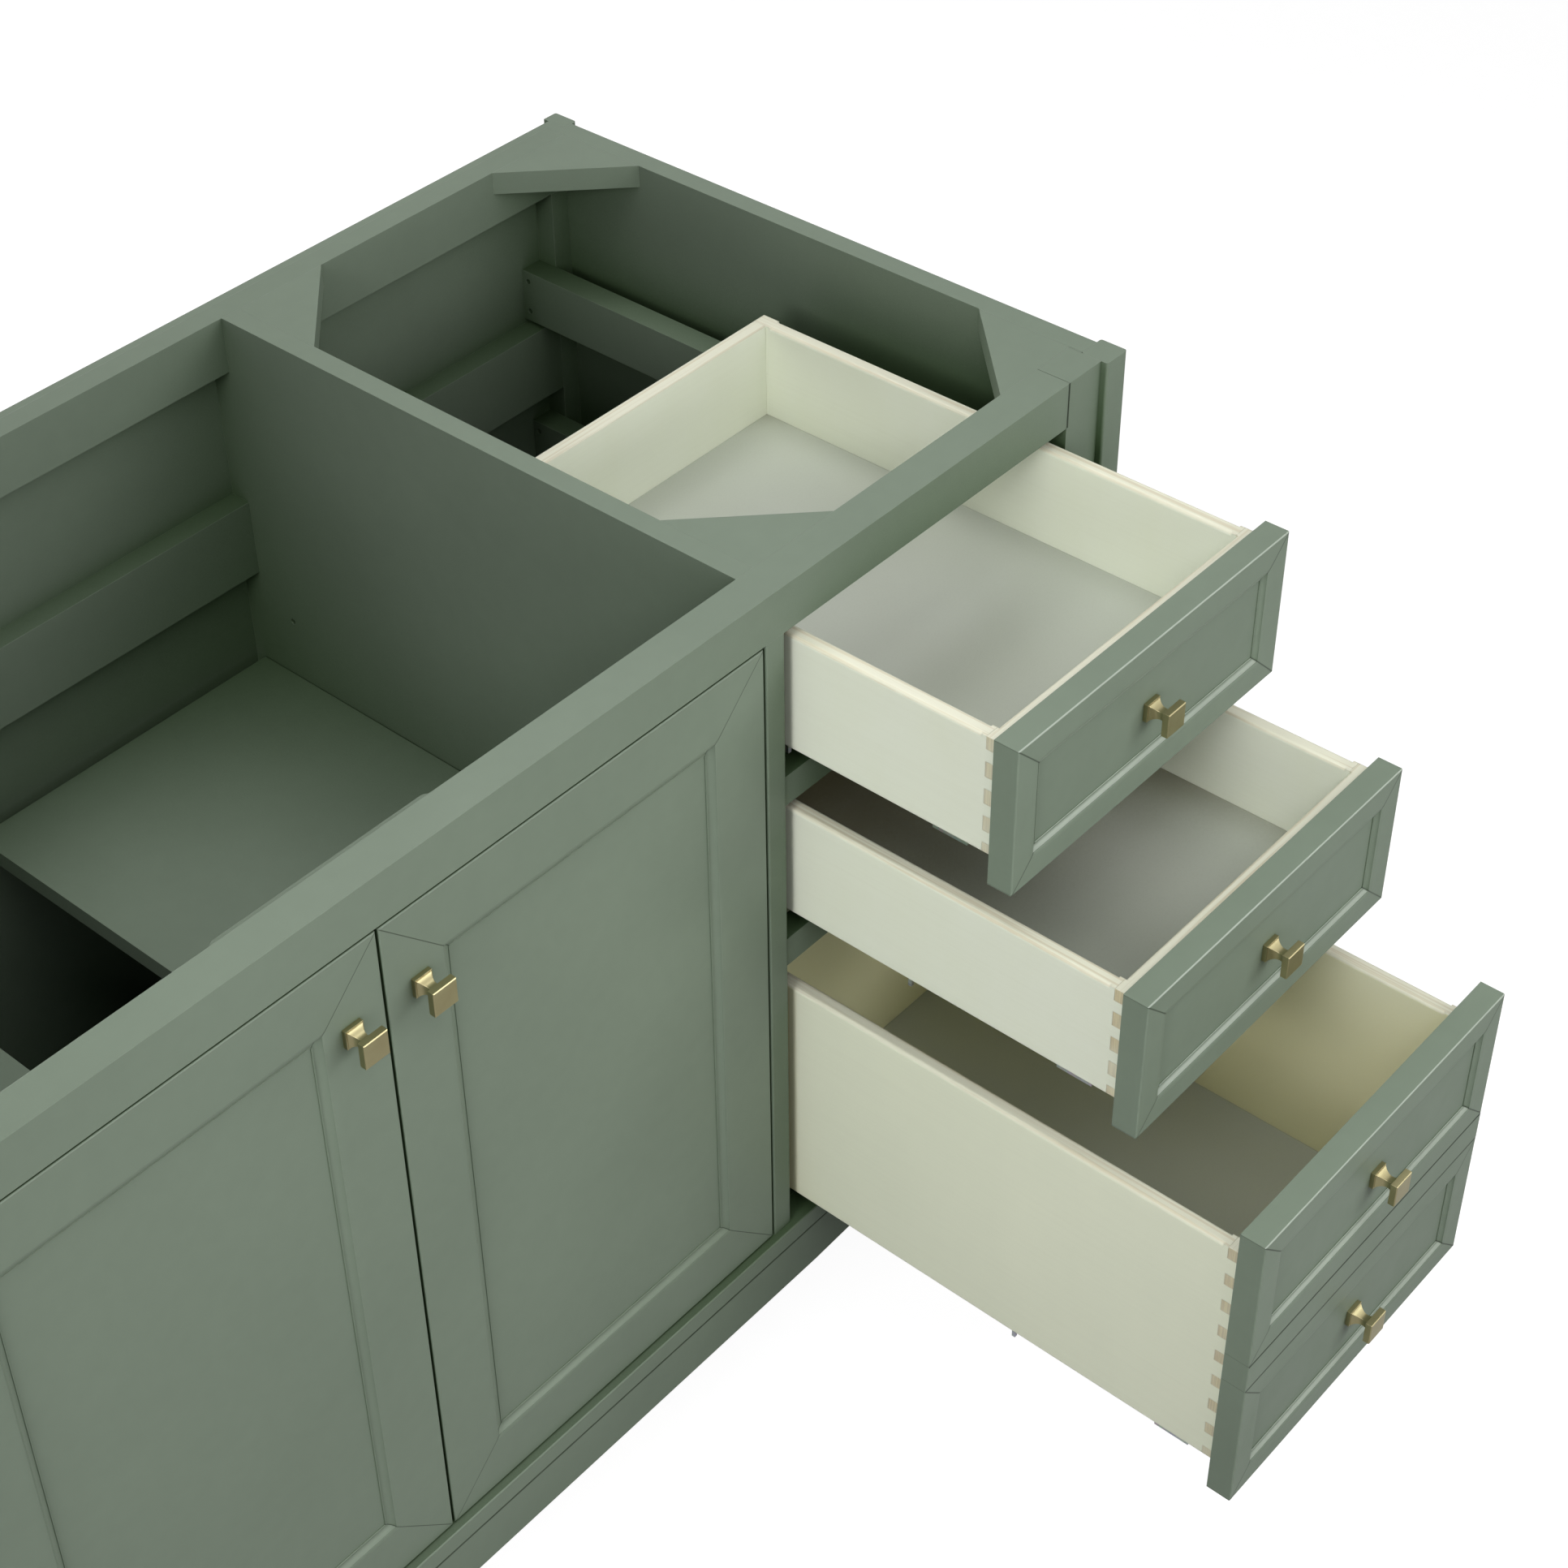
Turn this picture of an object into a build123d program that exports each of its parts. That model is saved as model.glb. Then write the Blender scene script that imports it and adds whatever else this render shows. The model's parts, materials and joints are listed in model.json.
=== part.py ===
from build123d import *
import os

# Freestanding vanity base cabinet, open at the top, with two doors and three drawers.
# Millimetres. X runs left to right, Y front to back, Z up. While modelling, X = 0 is the middle
# of the cabinet, Y = 0 the face plane of the doors and stiles and Z = 0 the floor.
# The drawers stand open and the doors shut: that is the pose of rest.

# Overall
HEIGHT = 838.0               # floor to the top of the rails
SIDE_SPAN = 1189.6           # over the outer faces of the side panels
DEPTH = 584.0                # face plane to the back of the back panel

# Sheet stock and rails
PANEL_T = 18.0               # side panels, divider and cabinet bottom
BACK_T = 7.0                 # back panel
TOP_RAIL_D = 30.0            # front top rail, front to back
TOP_RAIL_H = 39.8
TOP_RAIL_R = 2.5             # rounded lower corner where the rail meets an outer stile
RAIL_HOUSING = 1.3           # rail's ends let into the outer stiles
RAIL_SLIT = 0.4              # open joint at the bottom of the housing
BACK_RAIL_T = 19.7
BACK_RAIL_H = 48.9
MID_RAIL_H = 70.0            # second back rail
MID_RAIL_DROP = 173.0        # its top below the cabinet's top

# Posts and stiles
POST_W = 25.0
POST_D = 24.0
POST_SIDE_PROUD = 5.5        # posts stand out from the side panels
POST_FRONT_PROUD = 6.0       # front posts, base rail and apron stand out from the face plane
POST_REAR_PROUD = 5.6
POST_REBATE = 9.0            # tongue of the side panel let into the rear post
POST_EDGE_R = 2.0
STILE_W = 40.3
STILE_EDGE_R = 2.0
MIDDLE_STILE_W = 20.2
DIVIDER_INSET = 2.4          # divider's bay face inside the middle stile's edge
DRAWER_OPENING = 324.1       # between the middle and right stiles

# Base
LEG_CLEAR = 130.5            # floor to the apron's lower edge
APRON_H = 44.9
APRON_T = 18.0
APRON_LIFT = 15.5            # rise of the apron's lower edge towards each leg
APRON_SLOPE_RUN = 340.0
BASE_RAIL_H = 18.6
GROOVE = 0.8                 # fine grooves between base rail and apron and on the tall front

# Corner plates, blocks and runner rails
CORNER_PLATE = 86.0          # leg of the triangle
CORNER_PLATE_T = 20.0
BLOCK = 19.6                 # square block in the corner behind a spacer
SPACER_H = 49.0
SPACER_DROPS = (17.0, 13.5, 21.0)    # each spacer's lower edge below its drawer box
SPACER_SCREW_R = 2.5         # holes in the two upper spacers, which show them
SPACER_SCREW_DEEP = 4.0
SPACER_SCREW_IN = 7.0        # screw holes from the spacer's rear end
SPACER_SCREW_PITCH = 29.6

# Gaps
FRONT_GAP = 2.2              # round every door and drawer front
FRONT_SEAT_CLEAR = 0.5       # back of a shut drawer front to the divider's front edge
RUN_CLEAR = 0.3              # between members of a runner
PIN_CLEAR = 0.1
STOP_CLEAR = 0.4             # door back to stop
SHELF_END_CLEAR = 1.1

# Drawer fronts
DRAWER_RAIL_H = 27.0
DRAWER_RAIL_RECESS = 1.75
DRAWER_FRONT_T = 20.5
DRAWER_FRAME_W = 23.5
DRAWER_MOULD_W = 5.0
DRAWER_MOULD_D = 3.5
FRONT_EDGE_R = 1.2
TOP_DRAWER_OUT = 197.9       # how far each drawer stands open
MIDDLE_DRAWER_OUT = 313.2
BOTTOM_DRAWER_OUT = 422.8

# Doors
DOOR_T = 20.0
DOOR_FRAME_W = 51.0
DOOR_MOULD_W = 7.0
DOOR_MOULD_D = 4.0
EASE_W = 4.0                 # face eases down before its moulding
EASE_D = 0.5
MOULD_STEP = 0.3             # first step of a moulding below the eased face
BEAD_W = 1.1                 # bead between moulding and panel
BEAD_UP = 0.5
BEAD_SLOPE = 0.25
PANEL_LIP = 0.4              # panel's face below the bead's foot
COVE_FULL = 0.75             # share of a cove's depth reached where COVE_AT of its width is past
COVE_AT = 0.35
EASE_HALF = 0.25             # share of the ease's depth at half its width
FIELD_T = 6.0                # flat panels
FIELD_TONGUE = 6.0           # panel let into its frame

# Knobs
KNOB_BASE = 15.0
KNOB_BASE_T = 3.4
KNOB_STEP = 1.0
KNOB_WAIST = 6.4             # narrowest part of the neck
KNOB_WAIST_AT = 0.6          # its place along the neck
KNOB_FLARE = 9.4             # neck where it meets the plate
KNOB_PLATE = 20.3
KNOB_PLATE_T = 5.5
KNOB_BEVEL = 0.6
KNOB_OUT = 23.0
DOOR_KNOB_IN = 29.5          # from the line where the doors meet
DOOR_KNOB_DOWN = 65.0        # below the door's top edge

# Drawer boxes
BOX_SIDE_T = 12.0
BOX_END_T = 12.0
BOX_EDGE_R = 3.0             # rounded top edges of the boards
BOX_SQUARE_END = 16.0        # square end of each side's top edge
BOX_TOPS_DOWN = (8.5, 8.5, 29.8)     # each box's top below its front's top
BOX_BOTTOMS_UP = (18.0, 18.0, 22.0)  # each box's bottom above its front's bottom
FLOOR_T = 5.0
FLOOR_UP = 17.6              # floor's top above the box's lower edge
FLOOR_TONGUE = 5.0
RUNNER_ALLOWANCE = 40.0      # bay less the inside width of a box
REAR_SPACE = 67.8            # closed box to the back rail
PIN_HEIGHTS = (13.0, 13.0, 11.4)     # end-grain pins at each box's front corners
PIN_PITCHES = (23.7, 23.7, 27.7)
FIRST_PINS = (11.0, 11.0, 11.4)      # what is left of the top pin
LEAST_PIN = 2.0

# Concealed runners below the boxes
SHEET_T = 1.5
RUNNER_W = 24.0
RUNNER_SIDE_CLEAR = 1.2      # box side to drawer member
RUNNER_FRONT_CLEAR = 1.0     # box front to the members
RUNNER_REAR_SHORT = 5.5      # members end before the box does
SLIDE_DROP = 4.0             # drawer member's lower edge below the box
MIDDLE_L = 400.0             # lengths of the middle and the fixed members
MIDDLE_DROP = 8.0
CHANNEL_L = 300.0
CHANNEL_DROP = 13.5
CHANNEL_FLANGE_UP = 6.0
CLIP_L = 30.0
CLIP_T = 3.0
CLIP_BACK = 12.0             # clip behind the members' front ends
PEG_BACK = 172.0             # peg behind the members' front ends
PEG_L = 3.0
PEG_DROP = 8.0
CLIP_REACH = 12.0

# Hinges
CUP_R = 17.5
CUP_DEEP = 12.0
CUP_IN = 22.5                # cup centre from the hinge edge
CUP_FLANGE_T = 1.0
CUP_FLANGE_IN = 3.0          # flange from the hinge edge
CUP_FLANGE_H = 50.0
HINGE_INSET = 90.0           # cup centre from the door's ends
HINGE_ARM_CLEAR = 0.5
HINGE_ARM_W = 14.0
HINGE_ARM_T = 6.0
HINGE_PLATE_T = 3.0
HINGE_PLATE_L = 44.0
HINGE_PLATE_H = 48.0
HINGE_BLOCK_H = 84.0
HINGE_BLOCK_D = 52.0

# Shelf
SHELF_T = 16.0
SHELF_DROP = 334.5           # shelf's top below the cabinet's top
SHELF_FRONT = 33.0           # front edge behind the face plane
SHELF_BACK_GAP = 12.0        # to the back panel
PIPE_GAP = 132.0             # notch for the pipes
SHELF_STRIP = 120.0          # shelf left in front of the notch
SHELF_PIN_R = 2.5
SHELF_PIN_OUT = 9.0
SHELF_PIN_DEEP = 10.0
SHELF_PIN_PITCH = 76.0
SHELF_PIN_BACK = 55.5        # rear holes in front of the back panel
SHELF_PIN_FRONT = 82.0       # front holes behind the face plane

# Door stop
STOP_L = 182.0
STOP_T = 17.0
STOP_DOWN = 16.0             # its top below the rail's top
STOP_LIP = 11.0              # reach below the rail
STOP_CORNER_R = 6.0

# Cabinet planes
DRAWERS_OUT = (TOP_DRAWER_OUT, MIDDLE_DRAWER_OUT, BOTTOM_DRAWER_OUT)
MIDDLE_STILE_T = DRAWER_FRONT_T + FRONT_SEAT_CLEAR
SIDE_X = SIDE_SPAN / 2
SIDE_IN = SIDE_X - PANEL_T
POST_OUT = SIDE_X + POST_SIDE_PROUD
POST_IN = POST_OUT - POST_W
STILE_IN = POST_IN - STILE_W
MIDDLE_RIGHT = STILE_IN - DRAWER_OPENING
MIDDLE_LEFT = MIDDLE_RIGHT - MIDDLE_STILE_W
DIVIDER_RIGHT = MIDDLE_RIGHT + DIVIDER_INSET
DIVIDER_LEFT = DIVIDER_RIGHT - PANEL_T
BAY_MIDDLE = (DIVIDER_RIGHT + STILE_IN) / 2
PANEL_FRONT = POST_D - POST_FRONT_PROUD
BACK_FACE = DEPTH - BACK_T
RAIL_BACK = BACK_FACE - BACK_RAIL_T
POST_REAR_OUT = DEPTH + POST_REAR_PROUD
POST_REAR_IN = POST_REAR_OUT - POST_D
APRON_TOP = LEG_CLEAR + APRON_H
BASE_TOP = APRON_TOP + BASE_RAIL_H
BOTTOM_UNDER = BASE_TOP - PANEL_T
RAIL_UNDER = HEIGHT - TOP_RAIL_H

# Fronts: two single drawers over one front as tall as two with a rail between
OPENING_H = RAIL_UNDER - BASE_TOP
FRONT_H = (OPENING_H - 3 * DRAWER_RAIL_H - 6 * FRONT_GAP) / 4
TALL_FRONT_H = 2 * FRONT_H + DRAWER_RAIL_H
FRONT_PITCH = FRONT_H + DRAWER_RAIL_H + 2 * FRONT_GAP
FRONT_TOPS = [RAIL_UNDER - FRONT_GAP - step * FRONT_PITCH for step in range(3)]
FRONT_HEIGHTS = (FRONT_H, FRONT_H, TALL_FRONT_H)
FRONT_LEFT = MIDDLE_RIGHT + FRONT_GAP
FRONT_RIGHT = STILE_IN - FRONT_GAP
FRONT_MIDDLE = (FRONT_LEFT + FRONT_RIGHT) / 2

# Boxes and runners
BOX_W = STILE_IN - DIVIDER_RIGHT - RUNNER_ALLOWANCE + 2 * BOX_SIDE_T
BOX_LEFT = BAY_MIDDLE - BOX_W / 2
BOX_RIGHT = BAY_MIDDLE + BOX_W / 2
BOX_BACK = RAIL_BACK - REAR_SPACE
BOX_INNER_LEFT = BOX_LEFT + BOX_SIDE_T
BOX_INNER_RIGHT = BOX_RIGHT - BOX_SIDE_T
RUN_FRONT = DRAWER_FRONT_T + BOX_END_T + RUNNER_FRONT_CLEAR
RUN_BACK = BOX_BACK - RUNNER_REAR_SHORT
FLOOR_UNDER = FLOOR_UP - FLOOR_T

# Doors
DOOR_W = (MIDDLE_LEFT + STILE_IN - 3 * FRONT_GAP) / 2
DOOR_TOP = RAIL_UNDER - FRONT_GAP
DOOR_BOTTOM = BASE_TOP + FRONT_GAP
LEFT_DOOR_X = -STILE_IN + FRONT_GAP
RIGHT_DOOR_X = LEFT_DOOR_X + DOOR_W + FRONT_GAP
MEETING_X = RIGHT_DOOR_X - FRONT_GAP / 2
HINGE_HEIGHTS = (DOOR_BOTTOM + HINGE_INSET, DOOR_TOP - HINGE_INSET)
SHELF_TOP = HEIGHT - SHELF_DROP

# Panel depths behind a front's face
DRAWER_FIELD_Y = DRAWER_MOULD_D + PANEL_LIP
DOOR_FIELD_Y = DOOR_MOULD_D + PANEL_LIP

# The frame of the finished part: Y = 0 halfway between the front and rear extremes
FRONT_TIP = DRAWER_FIELD_Y - KNOB_OUT - max(DRAWERS_OUT)
Y_ORIGIN = (FRONT_TIP + POST_REAR_OUT) / 2


def write(node, *shapes):
    """Write one node, moved from the modelling frame into the part's own."""
    solids = [solid for shape in shapes for solid in shape.solids()]
    moved = [Pos(0, -Y_ORIGIN, 0) * solid for solid in solids]
    export_step(Compound(children=moved), os.path.join("parts", node + ".step"))


def block(x0, x1, y0, y1, z0, z1):
    """A box between six planes."""
    return Pos((x0 + x1) / 2, (y0 + y1) / 2, (z0 + z1) / 2) * Box(x1 - x0, y1 - y0, z1 - z0)


def drill(x, y, z, radius, depth, direction):
    """A round hole from a point, along a direction."""
    start = Plane(origin=(x, y, z), z_dir=direction)
    return extrude(start * Circle(radius), depth)


def front_edges(solid, axis):
    """The two front edges of a block that run along an axis."""
    return solid.edges().filter_by(axis).group_by(Axis.Y)[0]


def plan_prism(points, z0, z1):
    """A plate with an outline in plan."""
    outline = make_face(Polyline(*points, close=True))
    return extrude(Pos(0, 0, z0) * outline, z1 - z0)


def side_prism(points, x0, x1):
    """A panel with an outline in Y and Z."""
    outline = Plane.YZ.offset(x0) * make_face(Polyline(*points, close=True))
    return extrude(outline, x1 - x0)


def both_sides(shape):
    """A piece and its twin on the cabinet's other side."""
    return mirror(shape, Plane.YZ), shape


def side_panels():
    """Right side panel, its rear tongue let into the rear post, and the left one."""
    panel = block(SIDE_IN, SIDE_X, PANEL_FRONT, DEPTH, LEG_CLEAR, HEIGHT)
    rebate = block(SIDE_IN + POST_REBATE, SIDE_X, POST_REAR_IN, DEPTH, LEG_CLEAR, HEIGHT)
    left, right = both_sides(panel - rebate)
    for hole in shelf_pin_places():
        x, y, z, inward = hole
        if inward > 0:
            left -= drill(x, y, z, SHELF_PIN_R + PIN_CLEAR, SHELF_PIN_DEEP, (-1, 0, 0))
    write("side_panel_left", left)
    write("side_panel_right", right)


def divider_panel():
    """Upright between the bays, notched round the front and back rails."""
    mid_top = HEIGHT - MID_RAIL_DROP
    outline = [(MIDDLE_STILE_T, BASE_TOP), (MIDDLE_STILE_T, RAIL_UNDER),
               (TOP_RAIL_D, RAIL_UNDER), (TOP_RAIL_D, HEIGHT),
               (RAIL_BACK, HEIGHT), (RAIL_BACK, HEIGHT - BACK_RAIL_H),
               (BACK_FACE, HEIGHT - BACK_RAIL_H), (BACK_FACE, mid_top),
               (RAIL_BACK, mid_top), (RAIL_BACK, mid_top - MID_RAIL_H),
               (BACK_FACE, mid_top - MID_RAIL_H), (BACK_FACE, BASE_TOP)]
    panel = side_prism(outline, DIVIDER_LEFT, DIVIDER_RIGHT)
    for hole in shelf_pin_places():
        x, y, z, inward = hole
        if inward < 0:
            panel -= drill(x, y, z, SHELF_PIN_R + PIN_CLEAR, SHELF_PIN_DEEP, (1, 0, 0))
    write("divider_panel", panel)


def bottom_panel():
    """Cabinet bottom between the side panels, behind the base rail."""
    write("bottom_panel", block(-SIDE_IN, SIDE_IN, PANEL_FRONT, BACK_FACE, BOTTOM_UNDER, BASE_TOP))


def back_panel():
    """Thin panel behind the back rails."""
    write("back_panel", block(-SIDE_IN, SIDE_IN, BACK_FACE, DEPTH, BOTTOM_UNDER, HEIGHT))


def rails():
    """Front top rail and the two back rails."""
    end = STILE_IN + RAIL_HOUSING - RAIL_SLIT
    front = block(-end, end, 0, TOP_RAIL_D, RAIL_UNDER, HEIGHT)
    lower_corners = front.edges().filter_by(Axis.Y).group_by(Axis.Z)[0]
    write("top_rail_front", fillet(lower_corners, TOP_RAIL_R))
    write("top_rail_back", block(-SIDE_IN, SIDE_IN, RAIL_BACK, BACK_FACE,
                                 HEIGHT - BACK_RAIL_H, HEIGHT))
    mid_top = HEIGHT - MID_RAIL_DROP
    reach = SIDE_IN - BLOCK
    write("middle_rail_back", block(-reach, reach, RAIL_BACK, BACK_FACE,
                                    mid_top - MID_RAIL_H, mid_top))


def posts():
    """Four corner posts that run down as legs."""
    front = block(POST_IN, POST_OUT, -POST_FRONT_PROUD, PANEL_FRONT, 0, HEIGHT)
    front = fillet(front.edges().filter_by(Axis.Z), POST_EDGE_R)
    rear = block(POST_IN, POST_OUT, POST_REAR_IN, POST_REAR_OUT, 0, HEIGHT)
    rear = fillet(rear.edges().filter_by(Axis.Z), POST_EDGE_R)
    rear -= block(POST_IN, SIDE_IN + POST_REBATE, POST_REAR_IN, POST_REAR_OUT, LEG_CLEAR, HEIGHT)
    for name, post in (("front", front), ("rear", rear)):
        left, right = both_sides(post)
        write("post_" + name + "_left", left)
        write("post_" + name + "_right", right)


def stiles():
    """Outer stiles to the top, and the middle one below the rail."""
    outer = block(STILE_IN, POST_IN, 0, TOP_RAIL_D, BASE_TOP, HEIGHT)
    outer -= block(STILE_IN, STILE_IN + RAIL_HOUSING, 0, TOP_RAIL_D, RAIL_UNDER, HEIGHT)
    left, right = both_sides(outer)
    write("stile_left", left)
    write("stile_right", right)
    middle = block(MIDDLE_LEFT, MIDDLE_RIGHT, 0, MIDDLE_STILE_T, BASE_TOP, RAIL_UNDER)
    write("stile_middle", fillet(front_edges(middle, Axis.Z), STILE_EDGE_R))


def drawer_rails():
    """Rails between the drawers, set a little behind the stiles."""
    rails_between = []
    for top in FRONT_TOPS[1:]:
        under = top + FRONT_GAP
        rails_between.append(block(MIDDLE_RIGHT, STILE_IN, DRAWER_RAIL_RECESS, MIDDLE_STILE_T,
                                   under, under + DRAWER_RAIL_H))
    write("drawer_rails", *rails_between)


def base():
    """Base rail and apron between the front posts, with a fine groove between them."""
    rail = block(-POST_IN, POST_IN, -POST_FRONT_PROUD, PANEL_FRONT, APRON_TOP, BASE_TOP)
    rail = chamfer(rail.edges().filter_by(Axis.X).group_by(Axis.Y)[0], GROOVE)
    write("base_rail", rail)
    flat = POST_IN - APRON_SLOPE_RUN
    outline = Polyline((-POST_IN, APRON_TOP), (-POST_IN, LEG_CLEAR + APRON_LIFT),
                       (-flat, LEG_CLEAR), (flat, LEG_CLEAR),
                       (POST_IN, LEG_CLEAR + APRON_LIFT), (POST_IN, APRON_TOP), close=True)
    apron = extrude(Plane.XZ.offset(POST_FRONT_PROUD) * make_face(outline), -APRON_T)
    write("apron", apron)


def corner_plates():
    """Four triangular plates, flush with the rails, in the drawer bay's corners."""
    plates = []
    for x, inward_x in ((DIVIDER_RIGHT, 1), (SIDE_IN, -1)):
        for y, inward_y in ((TOP_RAIL_D, 1), (RAIL_BACK, -1)):
            corner = [(x, y), (x + inward_x * CORNER_PLATE, y), (x, y + inward_y * CORNER_PLATE)]
            plates.append(plan_prism(corner, HEIGHT - CORNER_PLATE_T, HEIGHT))
    write("corner_plates", *plates)


def corner_blocks():
    """Upright blocks behind the back corners and behind the right stile."""
    rear = block(SIDE_IN - BLOCK, SIDE_IN, RAIL_BACK, BACK_FACE, BASE_TOP, HEIGHT - BACK_RAIL_H)
    front = block(SIDE_IN - BLOCK, SIDE_IN, TOP_RAIL_D, TOP_RAIL_D + BLOCK,
                  BASE_TOP, HEIGHT - CORNER_PLATE_T)
    write("corner_blocks", *both_sides(rear), front)


def box_bottom(number):
    """Height of a drawer box's lower edge."""
    return FRONT_TOPS[number] - FRONT_HEIGHTS[number] + BOX_BOTTOMS_UP[number]


def runner_spacers():
    """Rails that bring the right-hand runners in line with the stile's edge."""
    spacers = []
    for number, drop in enumerate(SPACER_DROPS):
        low = box_bottom(number) - drop
        spacers.append(block(STILE_IN, SIDE_IN - BLOCK, TOP_RAIL_D, BACK_FACE,
                             low, low + SPACER_H))
        middle = low + SPACER_H / 2
        lifts = (-SPACER_SCREW_PITCH / 2, SPACER_SCREW_PITCH / 2) if number < 2 else ()
        for lift in lifts:
            spacers[-1] -= drill(STILE_IN, BACK_FACE - SPACER_SCREW_IN, middle + lift,
                                 SPACER_SCREW_R, SPACER_SCREW_DEEP, (1, 0, 0))
    write("runner_spacers", *spacers)


def shelf_pin_places():
    """Shelf pin holes: x, y, z and the way that the pin sticks out of its panel."""
    pin_z = SHELF_TOP - SHELF_T - SHELF_PIN_R
    places = []
    for x, inward in ((-SIDE_IN, 1), (DIVIDER_LEFT, -1)):
        for y in (SHELF_PIN_FRONT, BACK_FACE - SHELF_PIN_BACK):
            for step in (0, 1):
                places.append((x, y, pin_z + step * SHELF_PIN_PITCH, inward))
    return places


def shelf():
    """Shelf with a notch for the pipes, on four pins."""
    left = -SIDE_IN + SHELF_END_CLEAR
    right = DIVIDER_LEFT - SHELF_END_CLEAR
    back = BACK_FACE - SHELF_BACK_GAP
    notch_left = MEETING_X - PIPE_GAP / 2
    notch_right = MEETING_X + PIPE_GAP / 2
    notch_front = SHELF_FRONT + SHELF_STRIP
    corner_x = -SIDE_IN + BLOCK + SHELF_END_CLEAR
    corner_y = RAIL_BACK - SHELF_END_CLEAR
    outline = [(left, SHELF_FRONT), (right, SHELF_FRONT), (right, back), (notch_right, back),
               (notch_right, notch_front), (notch_left, notch_front), (notch_left, back),
               (corner_x, back), (corner_x, corner_y), (left, corner_y)]
    write("shelf", plan_prism(outline, SHELF_TOP - SHELF_T, SHELF_TOP))
    pins = []
    for x, y, z, inward in shelf_pin_places():
        if abs(z - (SHELF_TOP - SHELF_T - SHELF_PIN_R)) < PIN_CLEAR:
            start = x - inward * SHELF_PIN_DEEP
            pins.append(drill(start, y, z, SHELF_PIN_R, SHELF_PIN_DEEP + SHELF_PIN_OUT,
                              (inward, 0, 0)))
    write("shelf_pins", *pins)


def door_stop():
    """Cleat on the back of the top rail, with a lip below it that the doors shut against."""
    left = MEETING_X - STOP_L / 2
    right = MEETING_X + STOP_L / 2
    low = RAIL_UNDER - STOP_LIP
    cleat = block(left, right, TOP_RAIL_D, TOP_RAIL_D + STOP_T, low, HEIGHT - STOP_DOWN)
    back_corners = cleat.edges().filter_by(Axis.Z).group_by(Axis.Y)[-1]
    cleat = fillet(back_corners, STOP_CORNER_R)
    cleat += block(left, right, DOOR_T + STOP_CLEAR, TOP_RAIL_D, low, RAIL_UNDER)
    write("door_stop", cleat)


def mould_section(face_w, mould_w, mould_d, thickness):
    """Section of a frame member: rounded outer edge, eased face, cove, bead and panel groove."""
    width = face_w + mould_w
    field_y = mould_d + PANEL_LIP
    groove = width - FIELD_TONGUE
    cove_top = EASE_D + MOULD_STEP
    cove_end = width - BEAD_W
    bead_y = mould_d - BEAD_UP
    back = Polyline((FRONT_EDGE_R, 0), (thickness, 0), (thickness, width),
                    (field_y + FIELD_T, width), (field_y + FIELD_T, groove),
                    (field_y, groove), (field_y, width), (mould_d, width),
                    (bead_y, width - BEAD_SLOPE), (bead_y, cove_end + BEAD_SLOPE),
                    (mould_d, cove_end))
    cove = ThreePointArc((mould_d, cove_end),
                         (cove_top + COVE_FULL * (mould_d - cove_top),
                          face_w + COVE_AT * mould_w),
                         (cove_top, face_w))
    step = Line((cove_top, face_w), (EASE_D, face_w))
    ease = ThreePointArc((EASE_D, face_w), (EASE_HALF * EASE_D, face_w - EASE_W / 2),
                         (0, face_w - EASE_W))
    face = Line((0, face_w - EASE_W), (0, FRONT_EDGE_R))
    edge = RadiusArc((0, FRONT_EDGE_R), (FRONT_EDGE_R, 0), -FRONT_EDGE_R)
    return make_face(back + cove + step + ease + face + edge)


def frame_member(length, face_w, mould_w, mould_d, thickness):
    """One mitred member along X, from its outer edge up to the panel."""
    width = face_w + mould_w
    section = Plane.YZ * mould_section(face_w, mould_w, mould_d, thickness)
    mitre = Polyline((0, 0), (length, 0), (length - width, width), (width, width), close=True)
    wedge = extrude(Plane.XZ * make_face(mitre), -thickness)
    return extrude(section, length) & wedge


def framed_panel(x0, x1, y, z0, z1, face_w, mould_w, mould_d, thickness):
    """Four mitred members and the flat panel that they hold; y is the front face."""
    wide = frame_member(x1 - x0, face_w, mould_w, mould_d, thickness)
    tall = frame_member(z1 - z0, face_w, mould_w, mould_d, thickness)
    members = [Pos(x0, y, z0) * wide,
               Pos(x1, y, z0) * Rot(0, -90, 0) * tall,
               Pos(x1, y, z1) * Rot(0, 180, 0) * wide,
               Pos(x0, y, z1) * Rot(0, 90, 0) * tall]
    inset = face_w + mould_w - FIELD_TONGUE
    field_y = y + mould_d + PANEL_LIP
    field = block(x0 + inset, x1 - inset, field_y, field_y + FIELD_T, z0 + inset, z1 - inset)
    return members, field


def knob(x, y, z):
    """Square knob: stepped base, arched neck and a bevelled square plate."""
    base = KNOB_BASE / 2
    step = base - KNOB_STEP
    flare = KNOB_FLARE / 2
    plate = KNOB_PLATE / 2
    neck_end = KNOB_OUT - KNOB_PLATE_T
    neck_start = KNOB_BASE_T + KNOB_STEP / 2
    waist = (KNOB_WAIST / 2, neck_start + KNOB_WAIST_AT * (neck_end - neck_start))
    lower = Polyline((0, 0), (base, 0), (base, KNOB_BASE_T), (step, KNOB_BASE_T), (step, neck_start))
    curve = ThreePointArc((step, neck_start), waist, (flare, neck_end))
    upper = Polyline((flare, neck_end), (plate, neck_end), (plate, KNOB_OUT - KNOB_BEVEL),
                     (plate - KNOB_BEVEL, KNOB_OUT), (0, KNOB_OUT))
    half = make_face(lower + curve + upper + Line((0, KNOB_OUT), (0, 0)))
    across = extrude(half + mirror(half, Plane.YZ), KNOB_PLATE, both=True)
    upright = Rot(0, 90, 0) * across
    return Pos(x, y, z) * Rot(0, 0, 180) * (across & upright)


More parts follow.
